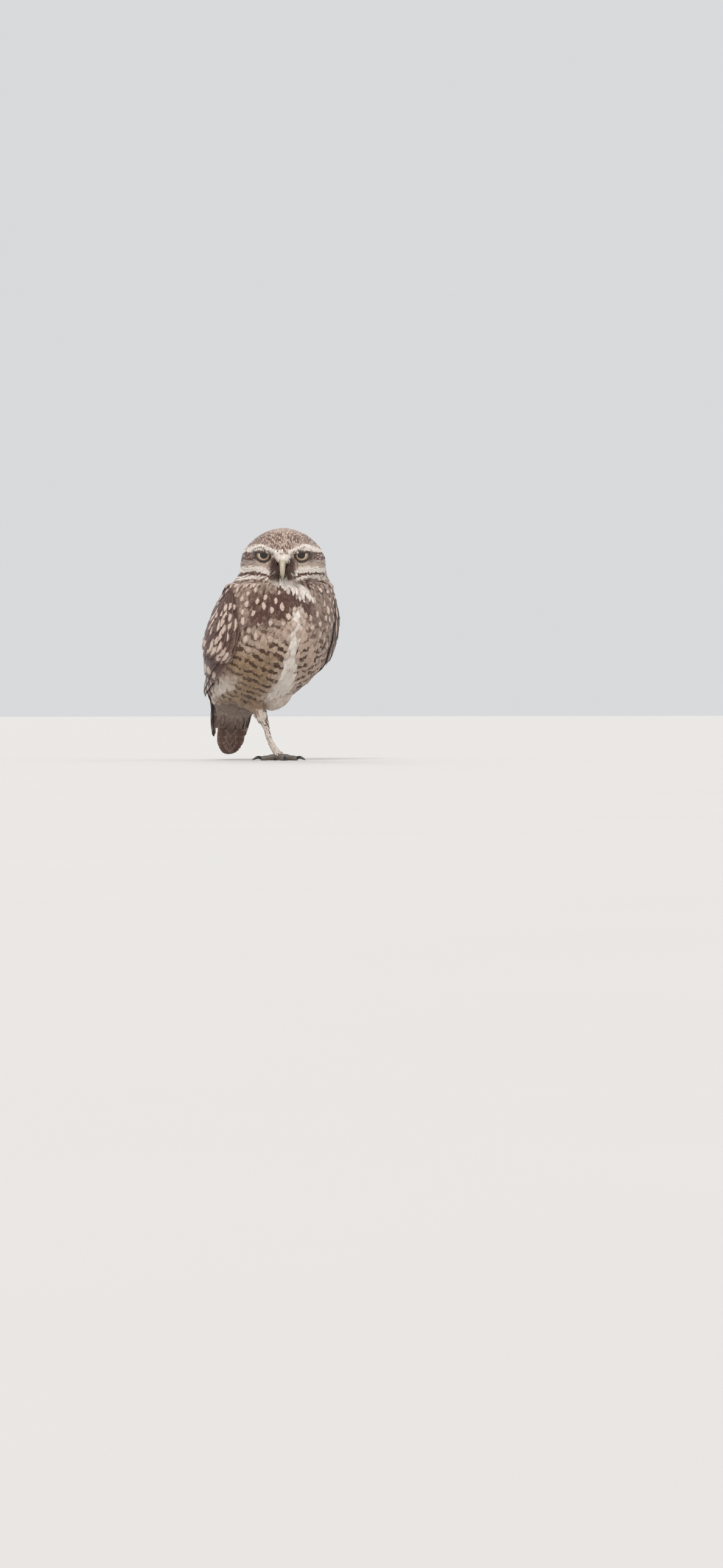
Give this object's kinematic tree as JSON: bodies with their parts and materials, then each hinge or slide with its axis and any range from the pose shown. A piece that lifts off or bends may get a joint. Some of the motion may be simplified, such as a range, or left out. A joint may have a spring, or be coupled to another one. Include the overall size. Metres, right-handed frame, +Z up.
{
  "type": "burrowing owl",
  "caption": "Life-size burrowing owl standing on one leg, other foot drawn up, wings folded, head turned to the viewer.",
  "frame": {"origin": "on the ground, under the middle of the whole bird's box", "axes": "+Z up, the body faces -Y, the bird's left side is at +X, and its head is turned 28 degrees to its right"},
  "size_m": [0.1304, 0.1514, 0.213],
  "materials": {
    "crown": "short soft feathers, matt",
    "breast": "soft barred feathers, matt",
    "wing": "firm folded feathers, satin",
    "tail": "firm folded feathers, satin",
    "eye": "wet and glossy",
    "bill": "smooth horn, satin",
    "leg": "short pale bristly feathers over skin",
    "toe": "pebbled skin, matt",
    "claw": "dark horn, satin"
  },
  "bodies": {
    "root": {"head": "crown", "neck": "breast", "torso": "breast", "tail": "tail", "bill_upper": "bill", "bill_lower": "bill", "shank_right": "leg", "tarsus_right": "leg", "tarsus_left": "leg", "wing_right": "wing", "eye_right": "eye", "toe_inner_right": "toe", "claw_inner_right": "claw", "toe_middle_right": "toe", "claw_middle_right": "claw", "toe_outer_right": "toe", "claw_outer_right": "claw", "toe_hind_right": "toe", "claw_hind_right": "claw", "wing_left": "wing", "eye_left": "eye", "toe_inner_left": "toe", "claw_inner_left": "claw", "toe_middle_left": "toe", "claw_middle_left": "claw", "toe_outer_left": "toe", "claw_outer_left": "claw", "toe_hind_left": "toe", "claw_hind_left": "claw"}
  },
  "joints": []
}
